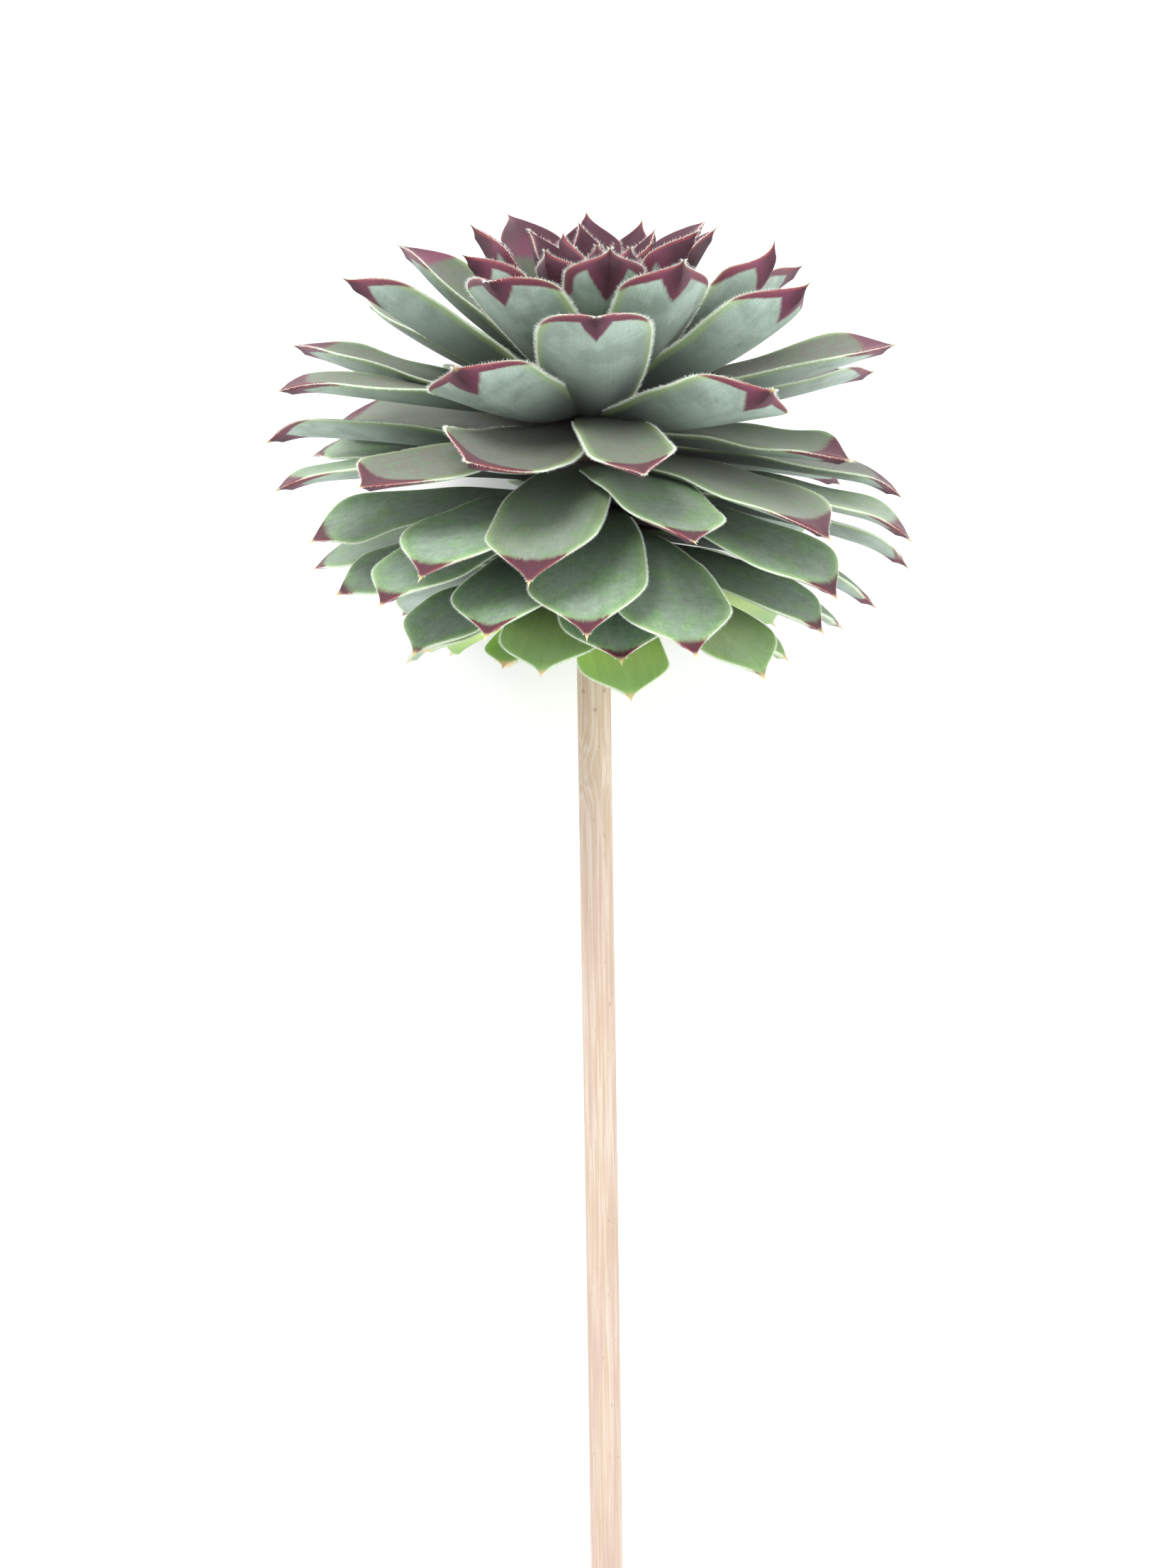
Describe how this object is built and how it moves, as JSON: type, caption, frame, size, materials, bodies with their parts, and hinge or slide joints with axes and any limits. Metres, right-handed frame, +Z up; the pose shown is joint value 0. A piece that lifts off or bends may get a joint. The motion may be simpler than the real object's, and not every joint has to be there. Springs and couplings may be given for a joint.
{
  "type": "cut hens and chicks rosette on a wooden stick",
  "caption": "Large houseleek rosette of pointed fleshy leaves round a short stem, cut from its roots and pushed onto a plain round wooden stick as a pick, lying on a flat surface.",
  "frame": {"origin": "on the surface that the plant lies on, under the middle of its bounding box", "axes": "+Z up, +Y along the stick's length towards the rosette's crown, +X to the right"},
  "size_m": [0.0974, 0.3424, 0.0928],
  "materials": {
    "stick": "bare sanded pale wood",
    "old_leaf": "smooth waxy yellow-green leaf",
    "heart_leaf": "satin maroon leaf with a downy edge",
    "pale_leaf": "powdery grey-green leaf with a maroon tip and a pale fringed edge",
    "dark_leaf": "satin green leaf with a maroon tip and a pale fringed edge"
  },
  "bodies": {
    "root": {"stick": "stick", "stem_with_old_leaves": "old_leaf", "heart_of_young_leaves": "heart_leaf", "leaf_28": "pale_leaf", "leaf_29": "pale_leaf", "leaf_30": "pale_leaf", "leaf_31": "pale_leaf", "leaf_32": "pale_leaf", "leaf_33": "pale_leaf", "leaf_34": "pale_leaf", "leaf_35": "pale_leaf", "leaf_36": "pale_leaf", "leaf_37": "pale_leaf", "leaf_38": "pale_leaf", "leaf_39": "pale_leaf", "leaf_40": "pale_leaf", "leaf_41": "pale_leaf", "leaf_42": "pale_leaf", "leaf_43": "pale_leaf", "leaf_44": "pale_leaf", "leaf_45": "dark_leaf", "leaf_46": "dark_leaf", "leaf_47": "dark_leaf", "leaf_48": "dark_leaf", "leaf_49": "dark_leaf", "leaf_50": "dark_leaf", "leaf_51": "dark_leaf", "leaf_52": "dark_leaf", "leaf_53": "dark_leaf", "leaf_54": "dark_leaf", "leaf_55": "dark_leaf", "leaf_56": "dark_leaf", "leaf_57": "dark_leaf", "leaf_58": "dark_leaf", "leaf_59": "dark_leaf", "leaf_60": "dark_leaf", "leaf_61": "dark_leaf", "leaf_62": "dark_leaf", "leaf_63": "dark_leaf", "leaf_64": "dark_leaf", "leaf_65": "dark_leaf", "leaf_66": "dark_leaf", "leaf_67": "dark_leaf", "leaf_68": "dark_leaf", "leaf_69": "dark_leaf", "leaf_70": "dark_leaf", "leaf_71": "dark_leaf", "leaf_72": "dark_leaf", "leaf_73": "dark_leaf", "leaf_74": "dark_leaf", "leaf_75": "dark_leaf", "leaf_76": "dark_leaf", "leaf_77": "dark_leaf", "leaf_78": "dark_leaf", "leaf_79": "dark_leaf", "leaf_80": "dark_leaf", "leaf_81": "dark_leaf", "leaf_82": "dark_leaf", "leaf_83": "dark_leaf", "leaf_84": "dark_leaf"}
  },
  "joints": []
}
